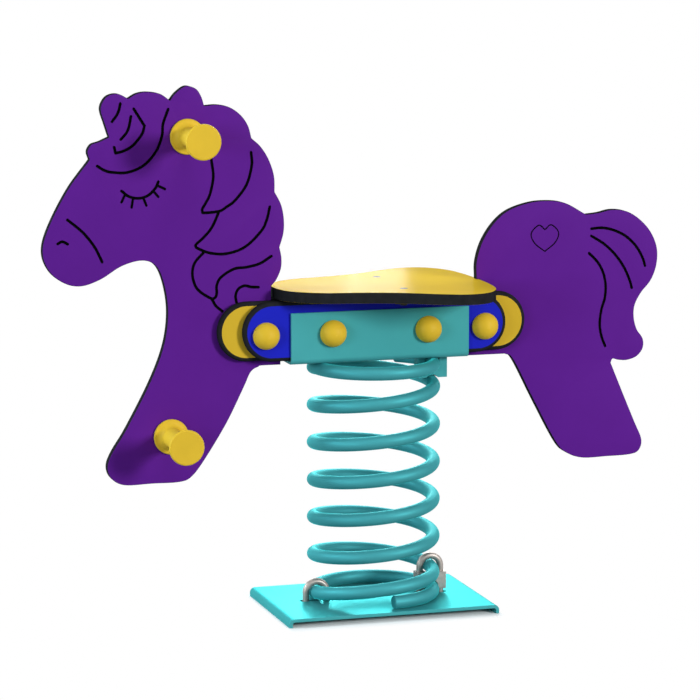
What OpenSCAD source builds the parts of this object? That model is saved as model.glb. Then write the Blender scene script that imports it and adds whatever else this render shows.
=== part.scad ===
// Spring rider: a flat-board unicorn on a single coil spring.
// Millimetres, +Z up. The head looks towards -X and the rider's left hand is on -Y.
// The origin is on the ground, under the middle of the overall length and width.

/* [Base plate] */
// Length of the base plate, along the rider
plate_l = 326; // [280:2:400]
// Width of the base plate, across the rider
plate_w = 220; // [180:5:300]
// Thickness of the plate steel
plate_t = 5; // [3:0.5:6]
// Height of the plate's top above the ground
plate_h = 13; // [12:0.5:20]
// Outside radius of the bent-down ends
plate_bend = 8; // [6.5:0.5:10]
// Length of a slot for a clamp leg
slot_l = 19; // [15:0.5:22]
// Distance of the spring axis behind the middle of the overall length
axis_offset = 25.5; // [0:0.5:40]

/* [Spring] */
// Diameter of the spring wire
wire_d = 20; // [16:0.5:24]
// Diameter of the coil, from wire centre to wire centre
coil_d = 180; // [150:2:200]
// Free height of the spring, from the plate to the channel
spring_h = 365; // [300:1:420]
// Turns that climb between the two flat end turns
active_turns = 6.05; // [4.05:1:7.05]
// Direction of the lower cut end, seen from above
cut_angle = 272; // [266:1:290]
// Flat part of the lower end turn, in degrees
lower_flat = 256; // [240:1:262]
// Flat part of the upper end turn, in degrees
upper_flat = 225; // [215:1:230]
// Clearance between the cut end and the turn above it
turn_gap = 1; // [0.8:0.1:4]

/* [Spring clamps] */
// Rod diameter of the U-bolts
u_rod_d = 10; // [8:0.5:12]
// Clearance between a clamp and the wire it holds
coil_gap = 1.2; // [1:0.1:1.6]
// Width of a saddle block along Y
saddle_w = 20; // [18:0.5:26]
// Wall of a saddle block outside a clamp leg
saddle_wall = 2; // [1.5:0.5:6]
// Depth of the lower saddle's cradle, which takes the climbing turn
lower_cradle = 2; // [1.5:0.5:6]
// Depth of the upper saddle's cradle
upper_cradle = 3.5; // [2:0.5:6]
// Gap between the lower saddle and the plate
saddle_foot_gap = 7; // [2:0.5:9]
// Thickness of a clamp nut
clamp_nut_t = 5; // [4:0.5:6]
// Thickness of a clamp washer
clamp_washer_t = 1.5; // [1:0.25:1.75]

/* [Channel] */
// Length of the channel that carries the boards
channel_l = 276; // [240:2:286]
// Height of the channel
channel_h = 77; // [62:1:84]
// Thickness of the channel steel
channel_t = 4; // [3:0.5:6]
// Outside radius of the channel's bends
channel_bend = 8; // [6.5:0.5:10]

/* [Boards] */
// Thickness of the two panels and the four boards
board_t = 13; // [11:0.5:18]
// Height of the four boards
board_h = 89; // [84:1:100]
// Reach of an outer side board beyond each end of the channel
side_board_reach = 66.5; // [60:0.5:80]
// Reach of an inner board beyond each end of the outer one
inner_board_reach = 35; // [25:1:50]
// Distance of the boards' middle in front of the spring axis
board_shift = 5.5; // [0:0.5:12]
// Gap between the boards' lower edge and the channel's web
board_rise = 1.5; // [0.5:0.5:6]
// Radius of the boards' rounded edges
board_edge_r = 6; // [3:0.5:6]

/* [Seat] */
// Thickness of the seat board
seat_t = 16; // [12:0.5:20]
// Width of the bar under the seat, along X
bar_w = 30; // [24:1:40]
// Thickness of the bar under the seat
bar_t = 6; // [4:0.5:8]
// Height of the bar's top, which carries the seat, above the boards
seat_lift = 1.5; // [0:0.25:3]
// Length of the bar under the seat, along Y
bar_l = 152; // [150:2:180]
// Distance of the bar behind the spring axis
bar_x = 26; // [20:1:40]
// Distance between the two seat bolts
seat_bolt_span = 132; // [110:2:140]
// Shank diameter of a seat bolt
seat_bolt_d = 6; // [5:0.5:8]
// Diameter of a seat bolt's countersunk head
seat_head_d = 11; // [10:0.5:14]
// Length of a screw that holds the bar down
bar_screw_l = 40; // [30:1:50]

/* [Board bolts] */
// Diameter of the bolts through the boards
bolt_d = 10; // [8:0.5:12]
// Distance between the two bolts through the channel
channel_bolt_span = 148; // [130:2:180]
// Distance of a bolt near the board ends beyond the channel's end
board_bolt_reach = 32; // [28:1:36]
// Height of the bolts above the channel's underside
bolt_rise = 45; // [38:1:52]
// Thickness of a bolt head
bolt_head_t = 6.5; // [5:0.5:7]
// Thickness of a bolt nut
bolt_nut_t = 8; // [6:0.5:8.5]
// Thickness of a bolt washer
bolt_washer_t = 2; // [1.5:0.25:2.5]
// Outside diameter of a dome cap
cap_d = 40; // [38:0.5:46]
// Height of a dome cap
cap_h = 19; // [17.5:0.5:24]
// Straight rim at the foot of a dome cap
cap_rim = 4; // [2:0.5:5]
// Wall of a dome cap
cap_wall = 3; // [2:0.25:3.5]

/* [Handles and footrests] */
// Diameter of the end discs
grip_disc_d = 52.5; // [50:0.5:64]
// Diameter of the waist
grip_waist_d = 29; // [24:0.5:30]
// Length from the panel to the outer face
grip_l = 97; // [80:1:120]
// Thickness of an end disc
grip_rim = 5; // [4:0.5:6]
// Radius of the hollow between disc and waist
grip_hollow_r = 10; // [6:0.5:10]
// Diameter of the steel rod through the panel
rod_d = 12; // [10:0.5:16]
// Depth of the rod in each grip
rod_depth = 60; // [30:1:70]
// Distance of the handles in front of the spring axis
handle_x = 286; // [270:1:300]
// Height of the handles above the channel's underside
handle_z = 339; // [325:1:350]
// Distance of the footrests in front of the spring axis
footrest_x = 314; // [300:1:330]
// Distance of the footrests below the channel's underside
footrest_drop = 102; // [90:1:112]

/* [Fits] */
// Clearance round a bolt, rod or leg in its hole
fit_gap = 0.3; // [0.2:0.05:0.5]
// Clearance between the spring and the steel it lies against
seat_gap = 0.3; // [0.2:0.05:0.6]

/* [Hidden] */
$fn = 64;

left = -1;
right = 1;
teal = "cadetblue";
zinc = "silver";
purple = "rebeccapurple";
yellow = "goldenrod";
blue = "mediumblue";

// Depth by which a cut passes the face that it goes through
past = 1;

// Levels of the main faces
deck_z = plate_h + spring_h;
board_low = deck_z + channel_t + board_rise;
board_top = board_low + board_h;
board_mid = board_low + board_h / 2;
seat_low = board_top + seat_lift;
seat_top = seat_low + seat_t;
bar_low = seat_low - bar_t;
bolt_z = deck_z + bolt_rise;

// Faces of the board stack, counted outwards from the middle plane
panel_face = board_t / 2;
inner_face = panel_face + board_t;
stack_face = inner_face + board_t;
channel_face = stack_face + channel_t;

// Widths of nuts, washers and bolt heads, for each millimetre of the thread's diameter
nut_width_per_d = 1.6;
washer_width_per_d = 2.2;
wide_washer_per_d = 2.6;

// Clamps on the spring
wire_r = wire_d / 2;
coil_r = coil_d / 2;
leg_r = wire_r + coil_gap + u_rod_d / 2;
leg_hole_d = u_rod_d + 2 * fit_gap;
slot_w = u_rod_d + 1;
clamp_nut_af = nut_width_per_d * u_rod_d;
clamp_washer_d = washer_width_per_d * u_rod_d;
clamp_low = plate_h - plate_t - clamp_washer_t - clamp_nut_t;
saddle_l = 2 * leg_r + u_rod_d + 2 * saddle_wall;
saddle_corner_r = 1.5;

// Lengths of the boards
side_board_l = channel_l + 2 * side_board_reach;
inner_board_l = side_board_l + 2 * inner_board_reach;

// Bolts through the boards
bolt_hole_d = bolt_d + 2 * fit_gap;
bolt_af = nut_width_per_d * bolt_d;
bolt_washer_d = wide_washer_per_d * bolt_d;
// Length of a bolt that shows past its nut
bolt_end = 2;
// Position along X from the spring axis, and half the width that is clamped, of each bolt
channel_bolt_places = [for (s = [-1, 1]) [s * channel_bolt_span / 2, channel_face]];
board_bolt_places = [
    for (s = [-1, 1]) [s * (channel_l / 2 + board_bolt_reach) - board_shift, stack_face]
];
bolt_places = concat(channel_bolt_places, board_bolt_places);

// Least flat width left between a board's two rounded edges
board_edge_flat = 0.5;

// Seat fixings
seat_nut_t = 3.2;
seat_nut_af = nut_width_per_d * seat_bolt_d;
bar_screw_d = 5;
bar_screw_head_d = 9;
bar_screw_y = inner_face + board_t / 2;

// Gaps between the panels and the ends of the channel and the seat
channel_end_gap = 8;
neck_gap = 5;
neck_step = 3;
lap_gap = 0.5;
// Reach of the rump over the back edge of the seat
rump_lap = 5;

// Tongues of the panels between the boards, measured from the spring axis and the channel's underside
tongue_low = channel_t + board_rise;
tongue_top = bar_low - deck_z - past;
tongue_end = 20;
tongue_root = channel_l / 2 + channel_end_gap;
belly = -3;
seat_level = seat_top - deck_z;
seat_front = -155;
seat_back = 165;
neck_back = seat_front - neck_gap;
neck_low = seat_level + neck_step;
rump_front = seat_back - rump_lap;

// Steps of a smooth curve from one outline point to the next
curve_steps = 4;

// Spring: the wire lies flat, climbs, and lies flat again
wire_low = plate_h + seat_gap + wire_r;
wire_top = deck_z - seat_gap - wire_r;
climb_start = cut_angle + lower_flat;
climb_end = climb_start + 360 * active_turns;
wire_end = climb_end + upper_flat;
pitch = (wire_top - wire_low) / active_turns;
// The first half turn bows up, just enough to pass over the cut end below it
bow_end = 720;
over_cut = cut_angle + 360;
bow_share = pow(sin(180 * (over_cut - climb_start) / (bow_end - climb_start)), 2);
bow = max(0, wire_d + turn_gap - pitch * (over_cut - climb_start) / 360) / bow_share;
wire_sides = 12;
tangent_step = 0.5;
rings_per_turn = 24;
wire_rings = ceil((wire_end - cut_angle) / 360 * rings_per_turn);

function bow_at(a) = a > climb_start && a < bow_end
    ? bow * pow(sin(180 * (a - climb_start) / (bow_end - climb_start)), 2) : 0;
function wire_z(a) = a <= climb_start ? wire_low
    : a >= climb_end ? wire_top
    : wire_low + pitch * (a - climb_start) / 360 + bow_at(a);
function wire_point(a) = [coil_r * cos(a), coil_r * sin(a), wire_z(a)];

// Angles of the turns that lie in the clamps
front_clamp_angle = 540;
rear_clamp_angle = 720;
under_top_angle = 360 * floor(climb_end / 360);
front_clamp_z = wire_z(front_clamp_angle);
rear_clamp_z = wire_z(rear_clamp_angle);
under_top_z = wire_z(under_top_angle);

// Smooth curve through points: each stretch is a cubic set by the points before and after it
function cubic(a, b, c, d, t) =
    (2 * b + (c - a) * t + (2 * a - 5 * b + 4 * c - d) * t * t + (3 * b - a - 3 * c + d) * t * t * t) / 2;
function before(p, i) = i > 0 ? p[i - 1] : 2 * p[0] - p[1];
function after(p, i) = i < len(p) ? p[i] : 2 * p[len(p) - 1] - p[len(p) - 2];
function curve(p) = [
    for (i = [0 : len(p) - 2], s = [0 : curve_steps - 1])
        cubic(before(p, i), p[i], p[i + 1], after(p, i + 2), s / curve_steps)
];
function closed_curve(p) = [
    for (i = [0 : len(p) - 1], s = [0 : curve_steps - 1])
        cubic(p[(i + len(p) - 1) % len(p)], p[i], p[(i + 1) % len(p)], p[(i + 2) % len(p)], s / curve_steps)
];
function curves(runs) = [for (run = runs) each curve(run)];

// Front panel outline, as runs between its corners: x from the spring axis, z from the channel's underside
front_runs = [
    // Nose, muzzle, jaw, chest, hoof and the back of the leg
    [[-431, 309], [-464, 266], [-493, 212], [-502, 177], [-492, 149], [-470, 131], [-445, 126], [-416, 135],
     [-385, 153], [-354, 160], [-333, 150], [-321, 118], [-317, 78], [-324, 32], [-345, -21], [-381, -88],
     [-402, -121], [-410, -142], [-404, -160], [-384, -171], [-342, -171], [-302, -171], [-283, -164],
     [-262, -138], [-229, -86], [-203, -35], [-191, -11], [-176, belly]],
    // Belly and tongue
    [[-176, belly], [-tongue_root, belly]],
    [[-tongue_root, belly], [-tongue_root, tongue_low]],
    [[-tongue_root, tongue_low], [-tongue_end, tongue_low]],
    [[-tongue_end, tongue_low], [-tongue_end, tongue_top]],
    [[-tongue_end, tongue_top], [neck_back, tongue_top]],
    [[neck_back, tongue_top], [neck_back, neck_low]],
    // Locks of the mane, from the seat up to the ear
    [[neck_back, neck_low], [-152, 124], [-145, 140], [-144, 156], [-147, 172]],
    [[-147, 172], [-141, 192], [-140, 212], [-144, 234], [-154, 254]],
    [[-154, 254], [-155, 278], [-163, 302], [-175, 321], [-189, 334]],
    [[-189, 334], [-194, 352], [-205, 368], [-222, 380], [-241, 384], [-260, 383]],
    // Ear, forelock, horn and brow
    [[-260, 383], [-264, 396], [-271, 407], [-282, 412], [-291, 411], [-303, 402], [-311, 392]],
    [[-311, 392], [-326, 402], [-345, 405], [-360, 403], [-373, 396]],
    [[-373, 396], [-387, 403], [-400, 402], [-409, 395], [-414, 381], [-408, 360], [-402, 341]],
    [[-402, 341], [-416, 335], [-428, 331], [-434, 321], [-431, 309]]
];

// Rear panel outline, in the same way
rear_runs = [
    // Rump
    [[rump_front, seat_level + lap_gap], [160, 138], [168, 166], [184, 192], [206, 212], [235, 223],
     [265, 227], [300, 223], [335, 204]],
    // Tail
    [[335, 204], [356, 206], [377, 210], [400, 207], [421, 195], [440, 175], [451, 150], [451, 124],
     [442, 100], [426, 81], [416, 62], [415, 43], [420, 25], [430, 10], [430, -5], [420, -17], [404, -22],
     [390, -21], [381, -19], [378, -25]],
    // Leg and hoof
    [[378, -25], [398, -72], [418, -118], [430, -146], [426, -163], [411, -169], [372, -170], [334, -170],
     [308, -161], [289, -142], [254, -78], [220, -13], [206, belly]],
    // Belly and tongue, with the lap that takes the back edge of the seat
    [[206, belly], [tongue_root, belly]],
    [[tongue_root, belly], [tongue_root, tongue_low]],
    [[tongue_root, tongue_low], [tongue_end, tongue_low]],
    [[tongue_end, tongue_low], [tongue_end, tongue_top]],
    [[tongue_end, tongue_top], [seat_back + lap_gap, tongue_top]],
    [[seat_back + lap_gap, tongue_top], [seat_back + lap_gap, seat_level + lap_gap]],
    [[seat_back + lap_gap, seat_level + lap_gap], [rump_front, seat_level + lap_gap]]
];

// One half of the seat's outline, seen from above
seat_half = [[-150, 35], [-131, 62], [-100, 81], [-60, 90], [-20, 101], [20, 118], [60, 142], [96, 156],
             [130, 147], [154, 112], [163, 60]];
seat_outline = concat(
    [[seat_front, 0]], seat_half, [[seat_back, 0]],
    [for (i = [len(seat_half) - 1 : -1 : 0]) [seat_half[i][0], -seat_half[i][1]]]
);

// Shared shapes

module on_axis(z = 0) {
    translate([axis_offset, 0, z]) children();
}

// A round bar along Y
module cross_bar(x, z, d, y0, y1) {
    translate([axis_offset + x, y1, z]) rotate([90, 0, 0]) cylinder(d = d, h = y1 - y0);
}

// A hexagon bar along Y, with a flat side up
module cross_hex(x, z, across_flats, y0, y1) {
    translate([axis_offset + x, y1, z]) rotate([90, 30, 0])
        cylinder(d = across_flats / cos(30), h = y1 - y0, $fn = 6);
}

module slot_shape(l, w) {
    square([l - w, w], center = true);
    for (s = [-1, 1]) translate([s * (l - w) / 2, 0]) circle(d = w);
}

module rounded_rectangle(l, w, r) {
    square([l - 2 * r, w], center = true);
    square([l, w - 2 * r], center = true);
    for (x = [-1, 1], y = [-1, 1]) translate([x * (l / 2 - r), y * (w / 2 - r)]) circle(r);
}

// Half of a bar's cross-section, rounded at its outer corners
module rounded_half(w, t, r) {
    translate([0, -t / 2]) square([w - r, t]);
    translate([0, r - t / 2]) square([w, t - 2 * r]);
    for (s = [-1, 1]) translate([w - r, s * (t / 2 - r)]) circle(r);
}

// A rectangle standing on y = 0, rounded at its two lower corners
module rounded_foot(w, h, r) {
    translate([-w / 2, r]) square([w, h - r]);
    translate([r - w / 2, 0]) square([w - 2 * r, h]);
    for (s = [-1, 1]) translate([s * (w / 2 - r), r]) intersection() {
        circle(r);
        translate([-r, -r]) square([2 * r, r]);
    }
}

// Room for the wire along a flat turn, open towards the steel that the turn lies against
module flat_turn_room(z, open_to) {
    room_r = wire_r + coil_gap;
    low = min(z, open_to);
    on_axis() rotate_extrude() {
        translate([coil_r, z]) circle(room_r);
        translate([coil_r - room_r, low]) square([2 * room_r, abs(open_to - z)]);
    }
}

module turn_room(z) {
    on_axis(z) rotate_extrude() translate([coil_r, 0]) circle(wire_r + coil_gap);
}

module saddle_block(z0, z1) {
    on_axis(z0) translate([coil_r, 0, 0])
        linear_extrude(z1 - z0) rounded_rectangle(saddle_l, saddle_w, saddle_corner_r);
}

// Base

module clamp_legs() {
    for (c = [-coil_r, coil_r], s = [-1, 1]) on_axis() translate([c + s * leg_r, 0, 0]) children();
}

module base_plate() {
    inner_bend = plate_bend - plate_t;
    color(teal) difference() {
        on_axis() translate([0, plate_w / 2, 0]) rotate([90, 0, 0]) linear_extrude(plate_w) difference() {
            translate([0, plate_h]) mirror([0, 1]) rounded_foot(plate_l, plate_h, plate_bend);
            translate([0, plate_h - plate_t]) mirror([0, 1])
                rounded_foot(plate_l - 2 * plate_t, plate_h, inner_bend);
        }
        clamp_legs() translate([0, 0, plate_h - plate_t - past])
            linear_extrude(plate_t + 2 * past) slot_shape(slot_l, slot_w);
    }
}

module u_bolt(x, z) {
    on_axis() translate([x, 0, 0]) {
        translate([0, 0, z]) rotate([90, 0, 0])
            rotate_extrude(angle = 180) translate([leg_r, 0]) circle(d = u_rod_d);
        for (s = [-1, 1]) translate([s * leg_r, 0, clamp_low]) cylinder(d = u_rod_d, h = z - clamp_low);
    }
}

module u_bolt_front() { color(zinc) u_bolt(-coil_r, front_clamp_z); }

module u_bolt_rear() { color(zinc) u_bolt(coil_r, rear_clamp_z); }

// Block that straddles the flat lower turn and cradles the turn above it
module lower_saddle() {
    color(zinc) difference() {
        saddle_block(plate_h + saddle_foot_gap, rear_clamp_z - wire_r + lower_cradle);
        flat_turn_room(wire_low, plate_h);
        turn_room(rear_clamp_z);
        for (s = [-1, 1]) on_axis() translate([coil_r + s * leg_r, 0, 0])
            cylinder(d = leg_hole_d, h = rear_clamp_z);
    }
}

module clamp_nuts() {
    color(zinc) clamp_legs() translate([0, 0, clamp_low]) difference() {
        cylinder(d = clamp_nut_af / cos(30), h = clamp_nut_t, $fn = 6);
        translate([0, 0, -past]) cylinder(d = leg_hole_d, h = clamp_nut_t + 2 * past);
    }
}

module clamp_washers() {
    color(zinc) clamp_legs() translate([0, 0, plate_h - plate_t - clamp_washer_t]) difference() {
        cylinder(d = clamp_washer_d, h = clamp_washer_t);
        translate([0, 0, -past]) cylinder(d = leg_hole_d, h = clamp_washer_t + 2 * past);
    }
}

// Spring

function wire_angle(i) = cut_angle + (wire_end - cut_angle) * i / wire_rings;
function unit(v) = v / norm(v);
function wire_tangent(a) = unit(wire_point(a + tangent_step) - wire_point(a - tangent_step));
function wire_ring(a) =
    let (out = [cos(a), sin(a), 0], over = cross(wire_tangent(a), out))
    [for (k = [0 : wire_sides - 1])
        wire_point(a) + wire_r * (cos(360 * k / wire_sides) * out + sin(360 * k / wire_sides) * over)];

// Least distance between wire centres that are at least three quarters of a turn apart, less the wire
turn_skip = ceil(0.75 * rings_per_turn);
wire_self_gap = min([
    for (i = [0 : wire_rings - turn_skip], k = [i + turn_skip : wire_rings])
        norm(wire_point(wire_angle(i)) - wire_point(wire_angle(k)))
]) - wire_d;

module spring() {
    points = [for (i = [0 : wire_rings]) each wire_ring(wire_angle(i))];
    last = wire_rings * wire_sides;
    sides = [
        for (i = [0 : wire_rings - 1], k = [0 : wire_sides - 1], half = [0, 1])
            let (a = i * wire_sides + k, b = i * wire_sides + (k + 1) % wire_sides)
            half == 0 ? [a, a + wire_sides, b] : [b, a + wire_sides, b + wire_sides]
    ];
    ends = [
        for (k = [1 : wire_sides - 2], far = [0, 1])
            far == 0 ? [0, k, k + 1] : [last, last + k + 1, last + k]
    ];
    echo(least_gap_between_turns = wire_self_gap);
    color(teal) on_axis() polyhedron(points, concat(sides, ends));
}

// Channel

module bolt_holes(places) {
    for (p = places) cross_bar(p[0], bolt_z, bolt_hole_d, -channel_face - past, channel_face + past);
}

module top_channel() {
    color(teal) difference() {
        on_axis(deck_z) translate([-channel_l / 2, 0, 0]) rotate([90, 0, 90]) linear_extrude(channel_l)
            difference() {
                rounded_foot(2 * channel_face, channel_h, channel_bend);
                translate([0, channel_t]) rounded_foot(2 * stack_face, channel_h, channel_bend - channel_t);
            }
        bolt_holes(channel_bolt_places);
    }
}

// Block under the channel that straddles the flat upper turn and meets the turn below it
module upper_saddle() {
    color(teal) difference() {
        saddle_block(under_top_z + wire_r - upper_cradle, deck_z);
        flat_turn_room(wire_top, deck_z);
        turn_room(under_top_z);
    }
}

// Boards

module board_blank(l, y) {
    edge_r = min(board_edge_r, (board_t - board_edge_flat) / 2);
    half_l = (l - board_h) / 2;
    translate([axis_offset - board_shift, y, board_mid]) rotate([90, 0, 0]) {
        for (s = [-1, 1]) translate([s * half_l, 0, 0]) rotate([0, 0, s * 90 - 180])
            rotate_extrude(angle = 180) rounded_half(board_h / 2, board_t, edge_r);
        for (s = [-1, 1]) rotate([0, 90, 0]) translate([0, 0, -half_l]) linear_extrude(2 * half_l)
            rotate(90 * s) mirror([0, 1]) rounded_half(board_h / 2, board_t, edge_r);
    }
}

module bar_seat() {
    translate([axis_offset + bar_x - bar_w / 2 - fit_gap, -bar_l, bar_low])
        cube([bar_w + 2 * fit_gap, 2 * bar_l, bar_t + past]);
}

module board(l, y) {
    difference() {
        board_blank(l, y);
        bolt_holes(bolt_places);
        bar_seat();
        bar_screw_places() translate([0, 0, -bar_screw_l])
            cylinder(d = bar_screw_d + 2 * fit_gap, h = bar_screw_l + past);
    }
}

module side_board(side) { color(blue) board(side_board_l, side * (inner_face + board_t / 2)); }

module inner_board(side) { color(yellow) board(inner_board_l, side * (panel_face + board_t / 2)); }

module side_board_left() { side_board(left); }

module side_board_right() { side_board(right); }

module inner_board_left() { inner_board(left); }

module inner_board_right() { inner_board(right); }

// Panels

module panel(runs) {
    on_axis(deck_z) translate([0, panel_face, 0]) rotate([90, 0, 0])
        linear_extrude(board_t) polygon(curves(runs));
}

module rod_hole(x, z) {
    cross_bar(x, z, rod_d + 2 * fit_gap, -panel_face - past, panel_face + past);
}

module front_panel() {
    color(purple) difference() {
        panel(front_runs);
        bolt_holes(bolt_places);
        rod_hole(-handle_x, deck_z + handle_z);
        rod_hole(-footrest_x, deck_z - footrest_drop);
    }
}

module rear_panel() {
    color(purple) difference() {
        panel(rear_runs);
        bolt_holes(bolt_places);
    }
}

// Seat

module seat_bolt_places() {
    for (s = [-1, 1]) on_axis() translate([bar_x, s * seat_bolt_span / 2, 0]) children();
}

module bar_screw_places() {
    for (s = [-1, 1]) on_axis(seat_low) translate([bar_x, s * bar_screw_y, 0]) children();
}

// A countersunk head and its shank, with the head's top at z = 0
module countersunk(head_d, shank_d, l) {
    head_t = (head_d - shank_d) / 2;
    translate([0, 0, -l]) cylinder(d = shank_d, h = l);
    translate([0, 0, -head_t]) cylinder(d1 = shank_d, d2 = head_d, h = head_t);
}

module seat() {
    color(yellow) difference() {
        on_axis(seat_low) linear_extrude(seat_t) polygon(closed_curve(seat_outline));
        seat_bolt_places() translate([0, 0, seat_top + past / 2])
            countersunk(seat_head_d + past + 2 * fit_gap, seat_bolt_d + 2 * fit_gap, seat_t + 2 * past);
    }
}

module seat_bar() {
    color(zinc) difference() {
        translate([axis_offset + bar_x - bar_w / 2, -bar_l / 2, bar_low]) cube([bar_w, bar_l, bar_t]);
        seat_bolt_places() translate([0, 0, bar_low - past])
            cylinder(d = seat_bolt_d + 2 * fit_gap, h = bar_t + 2 * past);
        bar_screw_places() translate([0, 0, past / 2])
            countersunk(bar_screw_head_d + past + 2 * fit_gap, bar_screw_d + 2 * fit_gap, bar_t + 2 * past);
    }
}

module seat_bolts() {
    color(zinc) seat_bolt_places() translate([0, 0, seat_top])
        countersunk(seat_head_d, seat_bolt_d, seat_t + bar_t + seat_nut_t);
}

module seat_nuts() {
    color(zinc) seat_bolt_places() translate([0, 0, bar_low - seat_nut_t]) difference() {
        cylinder(d = seat_nut_af / cos(30), h = seat_nut_t, $fn = 6);
        translate([0, 0, -past]) cylinder(d = seat_bolt_d + 2 * fit_gap, h = seat_nut_t + 2 * past);
    }
}

module bar_screws() {
    color(zinc) bar_screw_places() countersunk(bar_screw_head_d, bar_screw_d, bar_screw_l - past);
}

// Handles and footrests

// A bobbin standing on z = 0: two discs with round rims, hollowed down to a waist
module grip_profile() {
    disc_r = grip_disc_d / 2;
    waist_r = grip_waist_d / 2;
    rim_r = grip_rim / 2;
    hollow_r = min(grip_hollow_r, disc_r - rim_r - waist_r);
    square([waist_r, grip_l]);
    for (far = [0, 1]) translate([0, far * grip_l]) mirror([0, far]) {
        square([disc_r - rim_r, grip_rim]);
        translate([disc_r - rim_r, rim_r]) circle(rim_r);
        difference() {
            square([waist_r + hollow_r, grip_rim + hollow_r]);
            translate([waist_r + hollow_r, grip_rim + hollow_r]) circle(hollow_r);
        }
    }
}

module grip(side, x, z) {
    color(yellow) translate([axis_offset + x, side * panel_face, z]) rotate([-90 * side, 0, 0]) difference() {
        rotate_extrude() grip_profile();
        translate([0, 0, -past]) cylinder(d = rod_d + 2 * fit_gap, h = rod_depth + fit_gap + past);
    }
}

module grip_rod(x, z) {
    color(zinc) cross_bar(x, z, rod_d, -panel_face - rod_depth, panel_face + rod_depth);
}

module handle_left() { grip(left, -handle_x, deck_z + handle_z); }

module handle_right() { grip(right, -handle_x, deck_z + handle_z); }

module handle_rod() { grip_rod(-handle_x, deck_z + handle_z); }

module footrest_left() { grip(left, -footrest_x, deck_z - footrest_drop); }

module footrest_right() { grip(right, -footrest_x, deck_z - footrest_drop); }

module footrest_rod() { grip_rod(-footrest_x, deck_z - footrest_drop); }

// Bolts through the boards, with the heads on the left and the nuts on the right

module through_bolts(places) {
    color(zinc) for (p = places) {
        head_y = -p[1] - bolt_washer_t;
        cross_hex(p[0], bolt_z, bolt_af, head_y - bolt_head_t, head_y);
        cross_bar(p[0], bolt_z, bolt_d, head_y, p[1] + bolt_washer_t + bolt_nut_t + bolt_end);
    }
}

module channel_bolts() { through_bolts(channel_bolt_places); }

module board_bolts() { through_bolts(board_bolt_places); }

module bolt_washers() {
    color(zinc) difference() {
        for (p = bolt_places) {
            cross_bar(p[0], bolt_z, bolt_washer_d, -p[1] - bolt_washer_t, -p[1]);
            cross_bar(p[0], bolt_z, bolt_washer_d, p[1], p[1] + bolt_washer_t);
        }
        for (p = bolt_places)
            cross_bar(p[0], bolt_z, bolt_hole_d, -p[1] - 2 * bolt_washer_t, p[1] + 2 * bolt_washer_t);
    }
}

module bolt_nuts() {
    color(zinc) for (p = bolt_places) difference() {
        cross_hex(p[0], bolt_z, bolt_af, p[1] + bolt_washer_t, p[1] + bolt_washer_t + bolt_nut_t);
        cross_bar(p[0], bolt_z, bolt_hole_d, p[1], p[1] + bolt_washer_t + bolt_nut_t + past);
    }
}

// A dome on a short straight rim, standing on z = 0
module dome(d, h, rim) {
    rise = h - rim;
    ball_r = (d * d / 4 + rise * rise) / (2 * rise);
    cylinder(d = d, h = rim);
    intersection() {
        translate([0, 0, h - ball_r]) sphere(ball_r);
        translate([0, 0, rim]) cylinder(d = d, h = h);
    }
}

module bolt_cap() {
    difference() {
        dome(cap_d, cap_h, cap_rim);
        translate([0, 0, -past]) dome(cap_d - 2 * cap_wall, cap_h - cap_wall + past, cap_rim + past);
    }
}

module bolt_caps(side) {
    color(yellow) for (p = bolt_places)
        translate([axis_offset + p[0], side * p[1], bolt_z]) rotate([-90 * side, 0, 0]) bolt_cap();
}

module bolt_caps_left() { bolt_caps(left); }

module bolt_caps_right() { bolt_caps(right); }

base_plate();
u_bolt_front();
u_bolt_rear();
lower_saddle();
clamp_nuts();
clamp_washers();
spring();
top_channel();
upper_saddle();
side_board_left();
side_board_right();
inner_board_left();
inner_board_right();
front_panel();
rear_panel();
seat();
seat_bar();
seat_bolts();
seat_nuts();
bar_screws();
handle_left();
handle_right();
handle_rod();
footrest_left();
footrest_right();
footrest_rod();
channel_bolts();
board_bolts();
bolt_washers();
bolt_nuts();
bolt_caps_left();
bolt_caps_right();
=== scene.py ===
"""Looks of the spring rider: engraved two-colour boards, a powder-coated spring, studio light and camera.

Metres, in the CAD frame: the head looks towards -X, the rider's left hand is on -Y and +Z is up.
"""

import math

import bmesh
import bpy
import numpy as np
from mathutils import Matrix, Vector


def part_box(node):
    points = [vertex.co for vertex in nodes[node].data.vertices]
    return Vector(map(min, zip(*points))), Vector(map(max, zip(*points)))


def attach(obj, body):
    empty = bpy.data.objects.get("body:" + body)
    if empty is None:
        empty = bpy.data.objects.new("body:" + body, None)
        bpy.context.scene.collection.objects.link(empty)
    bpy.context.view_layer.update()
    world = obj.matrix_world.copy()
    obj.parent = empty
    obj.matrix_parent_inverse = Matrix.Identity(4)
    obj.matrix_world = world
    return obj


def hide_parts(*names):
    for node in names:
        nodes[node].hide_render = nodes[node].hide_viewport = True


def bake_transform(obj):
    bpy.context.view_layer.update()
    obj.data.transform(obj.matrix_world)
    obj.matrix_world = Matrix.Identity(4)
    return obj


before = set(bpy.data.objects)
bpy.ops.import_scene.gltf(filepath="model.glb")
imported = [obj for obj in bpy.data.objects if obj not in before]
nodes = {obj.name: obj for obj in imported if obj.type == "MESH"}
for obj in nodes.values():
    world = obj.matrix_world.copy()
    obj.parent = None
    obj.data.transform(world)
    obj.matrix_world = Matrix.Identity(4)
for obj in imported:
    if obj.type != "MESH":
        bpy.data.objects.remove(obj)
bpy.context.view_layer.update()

MM = 0.001

# Sizes read from the frame
spring_low, spring_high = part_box("spring")
plate_low, plate_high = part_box("base_plate")
seat_bolts_low, seat_bolts_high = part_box("seat_bolts")
panel_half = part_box("front_panel")[1].y
axis_x = (spring_low.x + spring_high.x) / 2


# Materials

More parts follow.
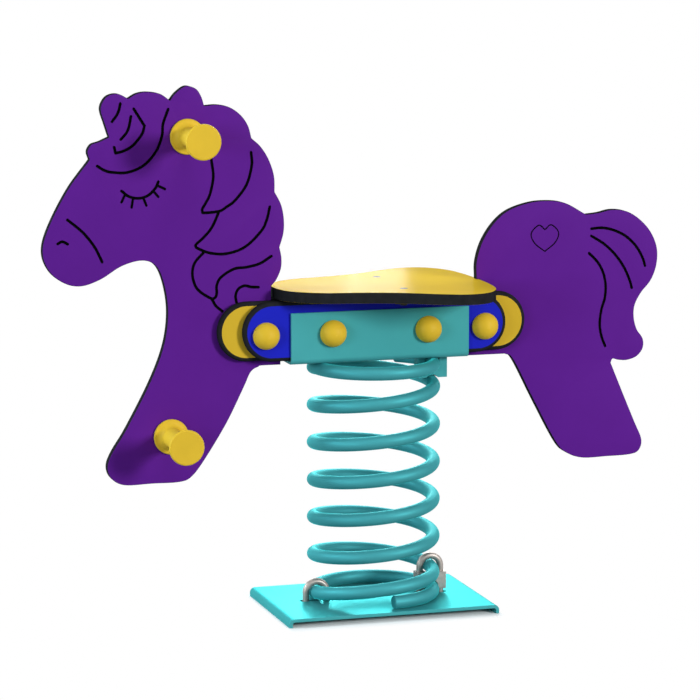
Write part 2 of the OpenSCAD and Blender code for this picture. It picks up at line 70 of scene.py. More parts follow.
def linear(red, green, blue):
    """A colour written as sRGB screen values from 0 to 255, as linear light."""
    def channel(value):
        share = value / 255
        return share / 12.92 if share <= 0.04045 else ((share + 0.055) / 1.055) ** 2.4
    return (channel(red), channel(green), channel(blue), 1.0)


def shade(colour, factor):
    """The colour made darker or lighter by factor."""
    return tuple(min(1.0, c * factor) for c in colour[:3]) + (1.0,)


PURPLE = linear(91, 31, 137)
BLUE = linear(31, 37, 185)
BOARD_YELLOW = linear(207, 171, 48)
SEAT_YELLOW = linear(230, 191, 52)
MOULDED_YELLOW = linear(221, 182, 48)
CORE_BLACK = linear(37, 37, 39)
# Core black in the engraved grooves, painted darker than CORE_BLACK: painted shade inside the grooves
GROOVE_CORE_AND_PAINTED_SHADE = linear(9, 9, 10)
STEEL_BLACK = linear(40, 40, 42)
TEAL = linear(69, 156, 159)
TEAL_WIRE = linear(66, 150, 156)
TEAL_GLANCING = linear(75, 255, 255)
ZINC = linear(161, 152, 146)
WHITE = (1.0, 1.0, 1.0, 1.0)
SHEEN_CYAN = linear(60, 255, 255)
SHEEN_ROUGHNESS = 0.3
SEAT_COAT = 0.033
SEAT_COAT_ROUGHNESS = 0.18
# Part of a noise's range over which a mottled colour goes from its darkest to its lightest
MOTTLE_RANGE = (0.3, 0.7)


class Finish:
    """A material, with short ways to add to its node tree."""

    def __init__(self, name, metallic=0.0, specular=0.5):
        self.material = bpy.data.materials.new(name)
        self.material.use_nodes = True
        self.tree = self.material.node_tree
        self.shader = self.tree.nodes["Principled BSDF"]
        self.shader.inputs["Metallic"].default_value = metallic
        self.shader.inputs["Specular IOR Level"].default_value = specular
        self.place = self.add("ShaderNodeTexCoord").outputs["Object"]

    def add(self, kind, inputs=None):
        node = self.tree.nodes.new(kind)
        for socket, value in (inputs or {}).items():
            if isinstance(value, bpy.types.NodeSocket):
                self.tree.links.new(value, node.inputs[socket])
            else:
                node.inputs[socket].default_value = value
        return node

    def noise(self, spots, detail=2.0):
        """Noise whose spots are about this many metres across."""
        inputs = {"Vector": self.place, "Scale": 1 / spots, "Detail": detail}
        return self.add("ShaderNodeTexNoise", inputs).outputs["Fac"]

    def mottle(self, factor, colour, darkest, lightest):
        """Base colour that goes from darkest to lightest times colour, as factor grows."""
        ramp = self.add("ShaderNodeValToRGB", {"Fac": factor})
        for element, position, share in zip(ramp.color_ramp.elements, MOTTLE_RANGE, (darkest, lightest)):
            element.position = position
            element.color = shade(colour, share)
        self.tree.links.new(ramp.outputs["Color"], self.shader.inputs["Base Color"])

    def roughness(self, factor, low, high):
        """Roughness that goes from low to high, as factor grows."""
        inputs = {"Value": factor, "To Min": low, "To Max": high}
        varied = self.add("ShaderNodeMapRange", inputs).outputs["Result"]
        self.tree.links.new(varied, self.shader.inputs["Roughness"])

    def bump(self, height, depth):
        """Raises the surface by up to depth metres."""
        raised = self.add("ShaderNodeBump", {"Height": height, "Distance": depth})
        self.tree.links.new(raised.outputs["Normal"], self.shader.inputs["Normal"])


def sheet_finish(name, colour, specular=0.02):
    """Coloured skin of the plastic sheet: satin, with a fine pressed grain and faint clouds."""
    finish = Finish(name, specular=specular)
    finish.mottle(finish.noise(spots=90 * MM, detail=3), colour, darkest=0.97, lightest=1.03)
    grain = finish.noise(spots=1.2 * MM, detail=3)
    finish.roughness(grain, low=0.44, high=0.58)
    finish.bump(grain, depth=0.04 * MM)
    return finish.material


def seat_finish():
    """The seat's skin, polished by use to a faint gleam."""
    material = sheet_finish("seat_skin", SEAT_YELLOW, specular=0.0)
    shader = material.node_tree.nodes["Principled BSDF"]
    shader.inputs["Coat Weight"].default_value = SEAT_COAT
    shader.inputs["Coat Roughness"].default_value = SEAT_COAT_ROUGHNESS
    return material


def core_finish(name, colour):
    """Black core of the sheet, with the faint marks of the router."""
    finish = Finish(name, specular=0.0)
    finish.mottle(finish.noise(spots=12 * MM), colour, darkest=0.85, lightest=1.15)
    marks = finish.noise(spots=2 * MM, detail=3)
    finish.roughness(marks, low=0.5, high=0.65)
    finish.bump(marks, depth=0.05 * MM)
    return finish.material


def teal_finish(name, colour, metallic, specular, roughness, sheen=0.0):
    """Powder-coated steel: a satin metallic teal with a fine orange-peel skin.

    roughness is its least and its most, and sheen is the share of a cyan sheen.
    """
    finish = Finish(name, metallic=metallic, specular=specular)
    finish.shader.inputs["Specular Tint"].default_value = TEAL_GLANCING
    finish.shader.inputs["Sheen Weight"].default_value = sheen
    finish.shader.inputs["Sheen Roughness"].default_value = SHEEN_ROUGHNESS
    finish.shader.inputs["Sheen Tint"].default_value = SHEEN_CYAN
    finish.mottle(finish.noise(spots=60 * MM, detail=3), colour, darkest=0.97, lightest=1.03)
    peel = finish.noise(spots=1.6 * MM)
    finish.roughness(peel, *roughness)
    finish.bump(peel, depth=0.03 * MM)
    return finish.material


def zinc_finish():
    """Zinc-plated steel: grey metal with cloudy patches and a fine drawn grain."""
    finish = Finish("zinc_plated_steel", metallic=0.6)
    patches = finish.noise(spots=6 * MM, detail=4)
    finish.mottle(patches, ZINC, darkest=0.88, lightest=1.1)
    finish.roughness(patches, low=0.34, high=0.5)
    finish.bump(finish.noise(spots=0.8 * MM), depth=0.02 * MM)
    return finish.material


def black_steel_finish():
    """Blackened steel of the seat's fixings, a little mottled."""
    finish = Finish("blackened_steel", specular=0.2)
    patches = finish.noise(spots=3 * MM, detail=3)
    finish.mottle(patches, STEEL_BLACK, darkest=0.8, lightest=1.2)
    finish.roughness(patches, low=0.5, high=0.6)
    finish.bump(finish.noise(spots=0.7 * MM), depth=0.02 * MM)
    return finish.material


def moulded_finish():
    """Moulded yellow plastic: smooth, softly glossy, with a very fine grain."""
    finish = Finish("moulded_yellow_plastic", specular=0.12)
    finish.mottle(finish.noise(spots=30 * MM), MOULDED_YELLOW, darkest=0.97, lightest=1.03)
    grain = finish.noise(spots=0.9 * MM)
    finish.roughness(grain, low=0.45, high=0.55)
    finish.bump(grain, depth=0.02 * MM)
    return finish.material


teal_plate = teal_finish("teal_plate_coat", TEAL, metallic=0.42, specular=0.015, roughness=(0.36, 0.46))
teal_wire = teal_finish(
    "teal_wire_coat", TEAL_WIRE, metallic=0.3, specular=0.05, roughness=(0.48, 0.58), sheen=0.7)
teal_channel = teal_finish("teal_channel_coat", TEAL, metallic=0.1, specular=0.15, roughness=(0.5, 0.6))
zinc = zinc_finish()
moulded = moulded_finish()
black_core = core_finish("black_core", CORE_BLACK)
# The grooves' black core, painted darker than the edges' core as painted shade inside the grooves
groove_core_painted_shade = core_finish("groove_core_painted_shade", GROOVE_CORE_AND_PAINTED_SHADE)
purple_skin = sheet_finish("purple_skin", PURPLE)
yellow_skin = sheet_finish("yellow_skin", BOARD_YELLOW)
blue_skin = sheet_finish("blue_skin", BLUE)
seat_skin = seat_finish()
black_steel = black_steel_finish()


# CAD nodes that stay, with their finish

Y_AXIS = 1
Z_AXIS = 2
# Places of a sheet's two materials
SKIN = 0
CORE = 1
# Least share of a normal along an axis for its face to look along it
FACE_ON = 0.9999
# Softened edges: points welded within this gap, flat up to this turn, rounded from this turn on
WELD_GAP = 0.01 * MM
FLAT_DEGREES = 0.5
EDGE_DEGREES = 40
BEVEL_SEGMENTS = 2
STEEL_EDGE = 0.6 * MM
SEAT_EDGE = 0.8 * MM


def dress(names, material):
    for name in names:
        nodes[name].data.materials.clear()
        nodes[name].data.materials.append(material)


def dress_sheet(names, skin, axis):
    """Skin on the flat faces that look along axis, core on the edges and in the holes."""
    for name in names:
        dress([name], skin)
        nodes[name].data.materials.append(black_core)
        for polygon in nodes[name].data.polygons:
            polygon.material_index = SKIN if abs(polygon.normal[axis]) > FACE_ON else CORE


def soften_edges(names, width):
    """Rounds a node's sharp edges with modifiers, so the node's own mesh stays as it is."""
    for name in names:
        weld = nodes[name].modifiers.new("weld", "WELD")
        weld.merge_threshold = WELD_GAP
        flats = nodes[name].modifiers.new("flats", "DECIMATE")
        flats.decimate_type = "DISSOLVE"
        flats.angle_limit = math.radians(FLAT_DEGREES)
        bevel = nodes[name].modifiers.new("edges", "BEVEL")
        bevel.width = width
        bevel.segments = BEVEL_SEGMENTS
        bevel.limit_method = "ANGLE"
        bevel.angle_limit = math.radians(EDGE_DEGREES)
        normals = nodes[name].modifiers.new("normals", "WEIGHTED_NORMAL")
        normals.keep_sharp = True


dress(["base_plate"], teal_plate)
dress(["top_channel", "upper_saddle"], teal_channel)
dress(["u_bolt_front", "u_bolt_rear", "lower_saddle", "clamp_nuts", "clamp_washers"], zinc)
dress(["seat_bar", "seat_nuts", "bar_screws"], black_steel)
dress(["handle_rod", "footrest_rod", "channel_bolts", "board_bolts", "bolt_washers", "bolt_nuts"], zinc)
dress_sheet(["side_board_left", "side_board_right"], blue_skin, Y_AXIS)
dress_sheet(["inner_board_left", "inner_board_right"], yellow_skin, Y_AXIS)
dress_sheet(["seat"], seat_skin, Z_AXIS)
dress(["handle_left", "handle_right", "footrest_left", "footrest_right"], moulded)
dress(["bolt_caps_left", "bolt_caps_right"], moulded)
soften_edges(["base_plate", "top_channel", "upper_saddle", "lower_saddle"], STEEL_EDGE)
soften_edges(["seat"], SEAT_EDGE)


# Mesh helpers

UPWARD = (0, 0, 1)
ACROSS = (0, 1, 0)
# A side of an outline this many times as long as the next one stays straight
UNEVEN_SIDES = 10
# Edges that turn by more than this stay sharp
SHARP_DEGREES = 30
# Turn of a round tip's last ring, just short of closing to a point
TIP_DEGREES = 88


def new_piece(name, points, faces, material):
    mesh = bpy.data.meshes.new(name)
    mesh.from_pydata([tuple(p) for p in points], [], faces)
    mesh.materials.append(material)
    mesh.shade_smooth()
    piece = bpy.data.objects.new(name, mesh)
    bpy.context.scene.collection.objects.link(piece)
    return piece


def sharpen(piece, degrees):
    """Keeps the edges that turn by more than this sharp, and shades the rest smooth."""
    piece.data.set_sharp_from_angle(angle=math.radians(degrees))


def tube(path, radius, sides, up, start_tip=(), end_tip=()):
    """Points and faces of a closed tube along path.

    A tip lists (advance, radius) of the rings past that end.
    """
    path = np.asarray(path, float)
    steps = np.gradient(path, axis=0)
    tangents = steps / np.linalg.norm(steps, axis=1, keepdims=True)
    rings = [(path[0] - tangents[0] * out, tangents[0], r) for out, r in reversed(start_tip)]
    rings += [(p, t, radius) for p, t in zip(path, tangents)]
    rings += [(path[-1] + tangents[-1] * out, tangents[-1], r) for out, r in end_tip]
    points = []
    for centre, tangent, ring_radius in rings:
        side = np.cross(tangent, up)
        side /= np.linalg.norm(side)
        over = np.cross(side, tangent)
        for k in range(sides):
            turn = 2 * math.pi * k / sides
            points.append(centre + ring_radius * (math.cos(turn) * side + math.sin(turn) * over))
    faces = []
    for i in range(len(rings) - 1):
        for k in range(sides):
            a, b = i * sides + k, i * sides + (k + 1) % sides
            faces.append((a, a + sides, b + sides, b))
    last = (len(rings) - 1) * sides
    faces.append(tuple(range(sides)))
    faces.append(tuple(range(last + sides - 1, last - 1, -1)))
    return points, faces


def round_tip(radius, rings=3):
    """A round end for a tube, closed by a very small ring."""
    turns = [math.radians(TIP_DEGREES) * (i + 1) / rings for i in range(rings)]
    return [(radius * math.sin(t), radius * math.cos(t)) for t in turns]


def smooth_through(points, steps, closed=False, corner_degrees=180):
    """A smooth curve through points.

    It breaks at corners that turn by more than corner_degrees, and where a long side meets a short one.
    """
    points = [np.asarray(p, float) for p in points]
    count = len(points)

    def is_corner(i):
        if not closed and i in (0, count - 1):
            return True
        before = points[i] - points[i - 1]
        after = points[(i + 1) % count] - points[i]
        turn = math.atan2(before[0] * after[1] - before[1] * after[0], before @ after)
        shorter, longer = sorted((np.linalg.norm(before), np.linalg.norm(after)))
        return abs(turn) > math.radians(corner_degrees) or longer > UNEVEN_SIDES * shorter

    made = []
    for i in range(count if closed else count - 1):
        b, c = points[i], points[(i + 1) % count]
        a = 2 * b - c if is_corner(i) else points[i - 1]
        d = 2 * c - b if is_corner((i + 1) % count) else points[(i + 2) % count]
        square = 2 * a - 5 * b + 4 * c - d
        cube = 3 * b - a - 3 * c + d
        for s in range(steps):
            t = s / steps
            made.append((2 * b + (c - a) * t + square * t ** 2 + cube * t ** 3) / 2)
    if not closed:
        made.append(points[-1])
    return made


def carve(piece, cutter):
    """Cuts cutter out of piece for good."""
    cut = piece.modifiers.new("cut", "BOOLEAN")
    cut.operation = "DIFFERENCE"
    cut.solver = "EXACT"
    cut.use_self = True
    cut.material_mode = "TRANSFER"
    cut.object = cutter
    graph = bpy.context.evaluated_depsgraph_get()
    carved = bpy.data.meshes.new_from_object(piece.evaluated_get(graph))
    piece.modifiers.clear()
    piece.data = carved
    bpy.data.objects.remove(cutter)


# Spring: the CAD model's wire, rounder and with chamfered ends, in two pieces split between the lower and
# upper bends

WIRE_RADIUS = 10 * MM
COIL_RADIUS = 90 * MM
# Angles along the wire, in degrees, as in the CAD model: both ends, the climb, and the end of the bow
CUT_ANGLE = 272
WIRE_END = 2931
CLIMB_START = 528
CLIMB_END = 2706
BOW_END = 720
# Gap between the cut end and the turn that bows over it
TURN_GAP = 1 * MM
WIRE_SIDES = 32
DEGREES_PER_RING = 5
WIRE_CHAMFER = 1.2 * MM
# Heights in metres between which each half of the spring turns about its pivot
LOWER_BEND = (0.068, 0.212)
UPPER_BEND = (0.232, 0.328)

wire_low = spring_low.z + WIRE_RADIUS
wire_top = spring_high.z - WIRE_RADIUS
wire_pitch = (wire_top - wire_low) / (CLIMB_END - CLIMB_START)


def bow_share(angle):
    """Share of the bow by which the first half turn rises to pass over the cut end."""
    if not CLIMB_START < angle < BOW_END:
        return 0.0
    return math.sin(math.pi * (angle - CLIMB_START) / (BOW_END - CLIMB_START)) ** 2


over_cut = CUT_ANGLE + 360
wire_bow = (2 * WIRE_RADIUS + TURN_GAP - wire_pitch * (over_cut - CLIMB_START)) / bow_share(over_cut)


def wire_point(angle):
    """The middle of the wire at this angle."""
    climbed = min(max(angle, CLIMB_START), CLIMB_END) - CLIMB_START
    z = wire_low + wire_pitch * climbed + wire_bow * bow_share(angle)
    turn = math.radians(angle)
    return (axis_x + COIL_RADIUS * math.cos(turn), COIL_RADIUS * math.sin(turn), z)


def spring_piece(name, first, last, tips):
    """The wire from the first angle to the last, as one piece."""
    angles = np.linspace(first, last, round((last - first) / DEGREES_PER_RING) + 1)
    path = [wire_point(a) for a in angles]
    points, faces = tube(path, WIRE_RADIUS, WIRE_SIDES, UPWARD, *tips)
    piece = new_piece(name, points, faces, teal_wire)
    sharpen(piece, SHARP_DEGREES)
    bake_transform(piece)
    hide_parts("spring")


split_z = (LOWER_BEND[1] + UPPER_BEND[0]) / 2
split_angle = CLIMB_START + (split_z - wire_low) / wire_pitch
cut_tip = [(WIRE_CHAMFER, WIRE_RADIUS - WIRE_CHAMFER)]
tip_angle = math.degrees(WIRE_CHAMFER / COIL_RADIUS)
spring_piece(
    "spring_lower", CUT_ANGLE + tip_angle, split_angle,
    tips=(cut_tip, ()))
spring_piece(
    "spring_upper", split_angle, WIRE_END - tip_angle,
    tips=((), cut_tip))


# Panels: the CAD outline with smoother curves and softened edges, engraved on both faces

EDGE_RADIUS = 1.0 * MM
EDGE_STEPS = 3
OUTLINE_STEPS = 3
CORNER_DEGREES = 28
PANEL_SHARP_DEGREES = 32
# Holds back the inset of a very sharp corner
MITRE_LIMIT = 0.5
# A face within this distance of a level lies on it, and its points are rounded to these decimals of a metre
SAME_LEVEL = 0.01 * MM
POINT_DECIMALS = 6
GROOVE_SIDES = 12
GROOVE_STEPS = 5
WIDE_LINE = 4.3 * MM
LASH_LINE = 3.9 * MM
HEART_LINE = 2.0 * MM

# Origin of the engraved lines: 0.6 mm in front of the spring axis, and 0.4 mm above the ground
drawing_x = axis_x - 0.6 * MM
drawing_z = 0.4 * MM

# Engraved lines in millimetres: distance along X, and height
HEAD_LINES = [
    [(-384, 767), (-388, 753), (-396.7, 741)],
    [(-368.7, 748), (-372, 732), (-376.5, 723), (-384, 715)],
    [(-364.4, 758.8), (-348.8, 733.8)],
    [(-348.8, 733.8), (-352.8, 721.5), (-366, 706), (-379.2, 698.5), (-392, 695.4)],
    [(-392, 695.4), (-394, 704)],
    [(-313.3, 757), (-321.1, 736), (-323, 718), (-332.3, 695.7), (-350.2, 676.7), (-374.2, 667),
     (-397, 667.8), (-408.7, 671), (-419.2, 677.5)],
    [(-383.7, 640.3), (-373, 632), (-359, 628.8), (-345, 632.2), (-333.5, 642.6), (-329, 652)],
    [(-464, 601), (-441.3, 581.7), (-424.4, 559.8), (-413.5, 537.8)],
    [(-478.8, 566.7), (-472, 569.7), (-464.1, 565.8)],
]
LASHES = [
    [(-379, 634), (-384, 624)],
    [(-367, 628), (-369, 616)],
    [(-351, 628), (-347, 618)],
    [(-336, 638), (-329, 630)],
    [(-331, 647), (-319, 641)],
]
MANE_LINES = [
    [(-249.3, 682), (-246.5, 657), (-251.6, 631.8), (-257.4, 620), (-263.1, 610.7), (-263.2, 606.4),
     (-260.5, 604.3), (-238, 606), (-225.8, 612.6), (-214, 621), (-196.7, 643), (-188.4, 671),
     (-189.2, 691)],
    [(-238, 606), (-249.1, 582.7), (-262, 568), (-273, 558.6), (-273.4, 555.4), (-271, 552.7), (-252, 545),
     (-227, 543.2), (-199, 552.1), (-174.6, 574.3), (-165.9, 590.9), (-161.2, 610)],
    [(-261, 547), (-275.2, 531.6), (-279, 516), (-275.7, 499.7), (-267.5, 488.4), (-251, 478), (-245, 479),
     (-242.4, 485), (-242.3, 497), (-235.7, 508.7), (-216, 520.2), (-197, 522), (-176.8, 526.6),
     (-159, 537)],
    [(-212.5, 470), (-213.8, 481), (-209.4, 490.4), (-200, 494.7), (-190, 492.4), (-179, 491.7)],
    [(-250, 477), (-243.5, 466.2), (-233.8, 458)],
]
TAIL_LINES = [
    [(344.5, 559.8), (362, 560.5), (381, 556.2), (400.7, 546.3), (417.5, 530.4), (428.4, 512.2),
     (432.5, 500)],
    [(344.4, 548.8), (366.8, 534.7), (386, 516), (399.9, 495.7), (408.3, 476.7), (411.3, 466.8)],
    [(341, 522.6), (355.5, 507.9), (364.6, 491), (368.6, 472), (367.4, 453), (362.3, 436), (359.7, 417),
     (360.6, 404), (363.6, 391.9), (368.8, 379)],
]
HEART_X = 269.5
HEART_HALF = [(0, 561), (10, 568), (22, 556), (16.5, 541), (0, 528)]
HEART_LINES = [[(HEART_X + side * x, z) for x, z in HEART_HALF] for side in (-1, 1)]


def face_loops(name, level):
    """Outline loops of a node's flat face at y = level, as lists of (x, z)."""
    mesh = nodes[name].data
    edges = set()
    for polygon in mesh.polygons:
        corners = [mesh.vertices[v].co for v in polygon.vertices]
        if all(abs(c.y - level) < SAME_LEVEL for c in corners):
            keys = [(round(c.x, POINT_DECIMALS), round(c.z, POINT_DECIMALS)) for c in corners]
            edges.update(zip(keys, keys[1:] + keys[:1]))
    follow = {a: b for a, b in edges if (b, a) not in edges}
    loops = []
    while follow:
        start = min(follow)
        loop = [start]
        while follow[loop[-1]] != start:
            loop.append(follow.pop(loop[-1]))
        follow.pop(loop[-1])
        loops.append(loop)
    return loops


def inset(loop, distance):
    """The loop moved inwards, towards the material on its left."""
    points = np.array(loop)
    along = np.roll(points, -1, axis=0) - points
    along /= np.linalg.norm(along, axis=1, keepdims=True)
    after = np.stack([-along[:, 1], along[:, 0]], axis=1)
    before = np.roll(after, 1, axis=0)
    share = 1 + np.sum(before * after, axis=1, keepdims=True)
    return points + distance * (before + after) / np.maximum(share, MITRE_LIMIT)


def panel_mesh(loops):
    """A board between y = -panel_half and panel_half, with quarter-round edges.

    The skin reaches over the first step of the rounding, and the rest of the edge shows the core.
    """
    turns = [math.pi / 2 * k / EDGE_STEPS for k in range(EDGE_STEPS + 1)]
    front = [
        (EDGE_RADIUS * (1 - math.sin(t)), -panel_half + EDGE_RADIUS * (1 - math.cos(t))) for t in turns
    ]
    levels = front + [(depth, -y) for depth, y in reversed(front)]
    outer_steps = (0, len(levels) - 2)
    form = bmesh.new()
    caps = ([], [])
    for loop in loops:
        rings = [
            [form.verts.new((x, y, z)) for x, z in inset(loop, depth)] for depth, y in levels
        ]
        count = len(loop)
        for step, (ring, other) in enumerate(zip(rings, rings[1:])):
            for i in range(count):
                face = form.faces.new((ring[i], ring[(i + 1) % count], other[(i + 1) % count], other[i]))
                face.material_index = SKIN if step in outer_steps else CORE
        for cap, ring in zip(caps, (rings[0], rings[-1])):
            cap += [form.edges.get((ring[i], ring[(i + 1) % count])) for i in range(count)]
    for cap in caps:
        bmesh.ops.triangle_fill(form, edges=cap, use_beauty=True)
    bmesh.ops.recalc_face_normals(form, faces=form.faces)
    mesh = bpy.data.meshes.new("panel")
    form.to_mesh(mesh)
    form.free()
    return mesh


def groove_cutter(lines):
    """One mesh of round bars along the lines on both faces. lines holds (width, points in millimetres)."""
    points, faces = [], []
    for y in (-panel_half, panel_half):
        for width, line in lines:
            curve = smooth_through(line, GROOVE_STEPS)
            path = [(drawing_x + x * MM, y, drawing_z + z * MM) for x, z in curve]
            tip = round_tip(width / 2)
            bar_points, bar_faces = tube(path, width / 2, GROOVE_SIDES, ACROSS, tip, tip)
            faces += [tuple(v + len(points) for v in face) for face in bar_faces]
            points += bar_points
    return new_piece("groove_cutter", points, faces, groove_core_painted_shade)


def smooth_outline(loop):
    """The loop with smoother curves, kept inside its own box."""
    curve = smooth_through(loop, OUTLINE_STEPS, closed=True, corner_degrees=CORNER_DEGREES)
    return np.clip(curve, np.min(loop, axis=0), np.max(loop, axis=0))


def engraved_panel(name, node, lines):
    mesh = panel_mesh([smooth_outline(loop) for loop in face_loops(node, -panel_half)])
    mesh.materials.append(purple_skin)
    mesh.materials.append(black_core)
    piece = bpy.data.objects.new(name, mesh)
    bpy.context.scene.collection.objects.link(piece)
    carve(piece, groove_cutter(lines))
    piece.data.shade_smooth()
    sharpen(piece, PANEL_SHARP_DEGREES)
    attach(piece, "rider")
    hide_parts(node)


def with_width(width, lines):
    return [(width, line) for line in lines]


engraved_panel(
    "front_panel_engraved", "front_panel",
    with_width(WIDE_LINE, HEAD_LINES + MANE_LINES) + with_width(LASH_LINE, LASHES))
engraved_panel(
    "rear_panel_engraved", "rear_panel",
    with_width(WIDE_LINE, TAIL_LINES) + with_width(HEART_LINE, HEART_LINES))


# Seat bolts: countersunk, with a hexagon socket in the head

SEAT_HEAD_RADIUS = 5.5 * MM
SEAT_SHANK_RADIUS = 3 * MM
SOCKET_RADIUS = 2.3 * MM
SOCKET_DEPTH = 2.5 * MM
SOCKET_SIDES = 6
BOLT_SIDES = 48


def prism_stack(rings, sides, centre):
    """Points and faces of a closed stack of rings, given as (radius, z), about a vertical axis."""
    turns = [2 * math.pi * k / sides for k in range(sides)]
    points = [
        (centre[0] + r * math.cos(t), centre[1] + r * math.sin(t), z) for r, z in rings for t in turns
    ]
    faces = [
        (i * sides + k, i * sides + (k + 1) % sides, (i + 1) * sides + (k + 1) % sides, (i + 1) * sides + k)
        for i in range(len(rings) - 1) for k in range(sides)
    ]
    last = (len(rings) - 1) * sides
    faces.append(tuple(range(sides - 1, -1, -1)))
    faces.append(tuple(range(last, last + sides)))
    return points, faces


def seat_bolt(name, y):
    centre = ((seat_bolts_low.x + seat_bolts_high.x) / 2, y)
    top, bottom = seat_bolts_high.z, seat_bolts_low.z
    head_foot = top - (SEAT_HEAD_RADIUS - SEAT_SHANK_RADIUS)
    body = [(SEAT_SHANK_RADIUS, bottom), (SEAT_SHANK_RADIUS, head_foot), (SEAT_HEAD_RADIUS, top)]
    piece = new_piece(name, *prism_stack(body, BOLT_SIDES, centre), black_steel)
    socket = [(SOCKET_RADIUS, top - SOCKET_DEPTH), (SOCKET_RADIUS, top + SOCKET_DEPTH)]
    carve(piece, new_piece("socket_cutter", *prism_stack(socket, SOCKET_SIDES, centre), black_steel))
    piece.data.shade_smooth()
    sharpen(piece, SHARP_DEGREES)
    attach(piece, "rider")
    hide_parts("seat_bolts")


seat_bolt("seat_bolt_left", seat_bolts_low.y + SEAT_HEAD_RADIUS)
seat_bolt("seat_bolt_right", seat_bolts_high.y - SEAT_HEAD_RADIUS)


# Floor, light and camera

FLOOR_RADIUS = 60.0
FLOOR_SIDES = 96
# The floor lies this far below the plate's feet, so that the two don't share a plane
FLOOR_DROP = 0.2 * MM
FLOOR_SHADE = (0.22, 0.22, 0.22, 1.0)
# Distances from the base plate, along X and Y, over which the shadow on the floor fades out
SHADOW_FADE = (6 * MM, 30 * MM)
AMBIENT = 0.1
AMBIENT_COLOUR = (0.75, 0.85, 1.0, 1.0)
COOL_LIGHT = (0.8, 0.94, 1.0)
PLAIN_LIGHT = (1.0, 1.0, 1.0)
OBJECT_MIDDLE = Vector((0, 0, 0.4))
SIDE_BOX = (1.2, 1.2)

# Strips of light that gleam on the seat, from bright to faint: name, level, azimuth and width
GLEAM_STRIPS = [
    ("seat_gleam", 0.094, 160.8, 0.121),
    ("seat_gleam_fade", 0.06, 163.5, 0.106),
    ("seat_gleam_end", 0.048, 166.4, 0.106),
]
GLEAM_ELEVATION = 7.5
GLEAM_DISTANCE = 2.1
GLEAM_HEIGHT = 0.35
GLEAM_PLACE = Vector((-0.03, 0, 0.49))

# The photo's camera, in degrees, metres and millimetres of film
CAMERA_TARGET = Vector((-0.0111, 0, 0.3909))
CAMERA_AZIMUTH = -17.11
CAMERA_ELEVATION = 8.95
CAMERA_DISTANCE = 4.9226
CAMERA_LENS = 169.87
CAMERA_SENSOR = 36.0
CAMERA_NEAR = 0.1
CAMERA_FAR = 200


def combine(tree, operation, *values):
    """A math node over sockets and numbers."""
    node = tree.nodes.new("ShaderNodeMath")
    node.operation = operation
    for socket, value in zip(node.inputs, values):
        if isinstance(value, bpy.types.NodeSocket):
            tree.links.new(value, socket)
        else:
            socket.default_value = value
    return node.outputs[0]


def seen_directly(tree):
    """A socket that is 1 for camera, glossy and transmission rays."""
    path = tree.nodes.new("ShaderNodeLightPath")
    direct = combine(tree, "MAXIMUM", path.outputs["Is Camera Ray"], path.outputs["Is Glossy Ray"])
    return combine(tree, "MAXIMUM", direct, path.outputs["Is Transmission Ray"])


def mix_shaders(tree, factor, first, second):
    mix = tree.nodes.new("ShaderNodeMixShader")
    tree.links.new(factor, mix.inputs[0])
    tree.links.new(first, mix.inputs[1])
    tree.links.new(second, mix.inputs[2])
    return mix.outputs[0]


def away_from_plate(tree):
    """A socket that grows from 0 at the base plate to 1 where the shadow has faded out."""
    place = tree.nodes.new("ShaderNodeTexCoord").outputs["Object"]
    parts = tree.nodes.new("ShaderNodeSeparateXYZ")
    tree.links.new(place, parts.inputs[0])
    squares = []
    for axis, fade in enumerate(SHADOW_FADE):
        middle = (plate_low[axis] + plate_high[axis]) / 2
        half = (plate_high[axis] - plate_low[axis]) / 2
        from_middle = combine(tree, "ABSOLUTE", combine(tree, "SUBTRACT", parts.outputs[axis], middle))
        gap = combine(tree, "MAXIMUM", combine(tree, "SUBTRACT", from_middle, half), 0.0)
        squares.append(combine(tree, "POWER", combine(tree, "DIVIDE", gap, fade), 2.0))
    return combine(tree, "MINIMUM", combine(tree, "SQRT", combine(tree, "ADD", *squares)), 1.0)


def matt_shader(tree, colour):
    matt = tree.nodes.new("ShaderNodeBsdfDiffuse")
    matt.inputs["Color"].default_value = colour
    return matt.outputs[0]


def white_floor():
    """Grey for the light it gives back, white to the camera, with the object's shadow near the plate."""
    material = bpy.data.materials.new("floor")
    material.use_nodes = True
    tree = material.node_tree
    tree.nodes.remove(tree.nodes["Principled BSDF"])
    white = tree.nodes.new("ShaderNodeEmission")
    white.inputs["Color"].default_value = WHITE
    white.inputs["Strength"].default_value = 1.0
    shown = mix_shaders(tree, away_from_plate(tree), matt_shader(tree, WHITE), white.outputs[0])
    shader = mix_shaders(tree, seen_directly(tree), matt_shader(tree, FLOOR_SHADE), shown)
    tree.links.new(shader, tree.nodes["Material Output"].inputs["Surface"])
    bpy.ops.mesh.primitive_circle_add(
        vertices=FLOOR_SIDES, radius=FLOOR_RADIUS, fill_type="NGON", location=(0, 0, -FLOOR_DROP))
    floor = bpy.context.active_object
    floor.name = "floor"
    floor.data.materials.append(material)


def world_light():
    """A faint cool light from all round, and white where it is seen."""
    world = bpy.data.worlds.new("studio")
    world.use_nodes = True
    bpy.context.scene.world = world
    tree = world.node_tree
    soft = tree.nodes["Background"]
    soft.inputs["Color"].default_value = AMBIENT_COLOUR
    soft.inputs["Strength"].default_value = AMBIENT
    white = tree.nodes.new("ShaderNodeBackground")
    white.inputs["Color"].default_value = WHITE
    white.inputs["Strength"].default_value = 1.0
    shader = mix_shaders(tree, seen_directly(tree), soft.outputs[0], white.outputs[0])
    tree.links.new(shader, tree.nodes["World Output"].inputs["Surface"])


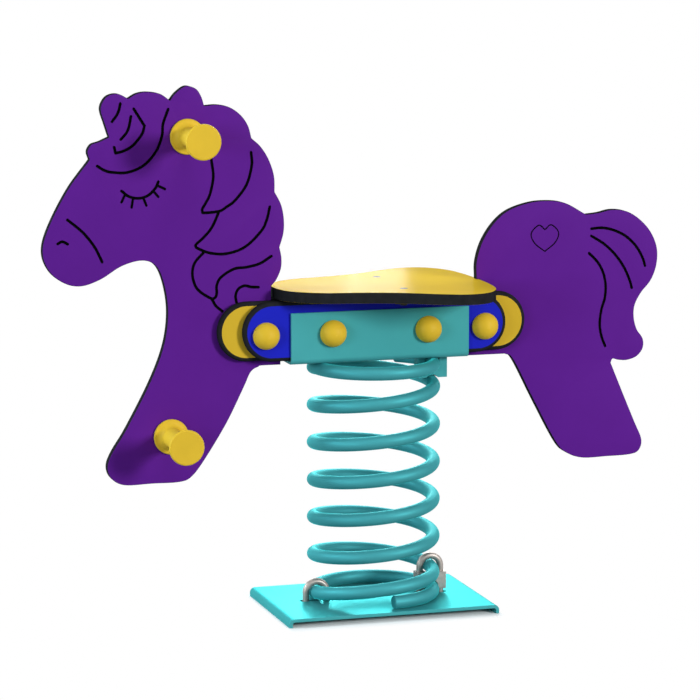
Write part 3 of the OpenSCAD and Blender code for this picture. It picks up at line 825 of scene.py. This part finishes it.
def look_at(aim, thing, azimuth, elevation, distance):
    """Adds a lamp or camera to the scene, so that it looks at aim.

    The angles are in degrees. Azimuth 0 is on -Y, in front of the rider's left side, and 90 is on +X.
    """
    a, e = math.radians(azimuth), math.radians(elevation)
    away = Vector((math.sin(a) * math.cos(e), -math.cos(a) * math.cos(e), math.sin(e)))
    thing.location = aim + away * distance
    thing.rotation_euler = (-away).to_track_quat("-Z", "Y").to_euler()
    bpy.context.scene.collection.objects.link(thing)


def softbox(name, level, azimuth, elevation, distance, size, aim=OBJECT_MIDDLE, colour=PLAIN_LIGHT):
    """An area lamp that looks at aim, of this width and height.

    level is how bright it makes a white surface there that faces it, where 1 is full white.
    """
    data = bpy.data.lights.new(name, "AREA")
    data.shape = "RECTANGLE"
    data.size, data.size_y = size
    data.energy = level * math.pi ** 2 * distance ** 2
    data.color = colour
    lamp = bpy.data.objects.new(name, data)
    lamp.visible_camera = False
    look_at(aim, lamp, azimuth, elevation, distance)


def photo_camera():
    data = bpy.data.cameras.new("camera")
    data.sensor_width = CAMERA_SENSOR
    data.lens = CAMERA_LENS
    data.clip_start = CAMERA_NEAR
    data.clip_end = CAMERA_FAR
    camera = bpy.data.objects.new("camera", data)
    look_at(CAMERA_TARGET, camera, CAMERA_AZIMUTH, CAMERA_ELEVATION, CAMERA_DISTANCE)
    bpy.context.scene.camera = camera


white_floor()
world_light()
softbox("key", level=0.74, azimuth=34, elevation=15, distance=6, size=(1.05, 1.3))
softbox("left_front", level=0.34, azimuth=-58, elevation=8, distance=4, size=SIDE_BOX, colour=COOL_LIGHT)
softbox("left_side", level=0.85, azimuth=-100, elevation=22, distance=4, size=SIDE_BOX, colour=COOL_LIGHT)
softbox("front_top", level=0.18, azimuth=0, elevation=50, distance=3.5, size=(2.0, 1.6))
softbox("rear", level=0.9, azimuth=160, elevation=26, distance=3, size=(3.0, 1.6))
for name, level, azimuth, width in GLEAM_STRIPS:
    softbox(name, level, azimuth, GLEAM_ELEVATION, GLEAM_DISTANCE, (width, GLEAM_HEIGHT), aim=GLEAM_PLACE)
photo_camera()
bpy.context.scene.view_settings.view_transform = "Standard"
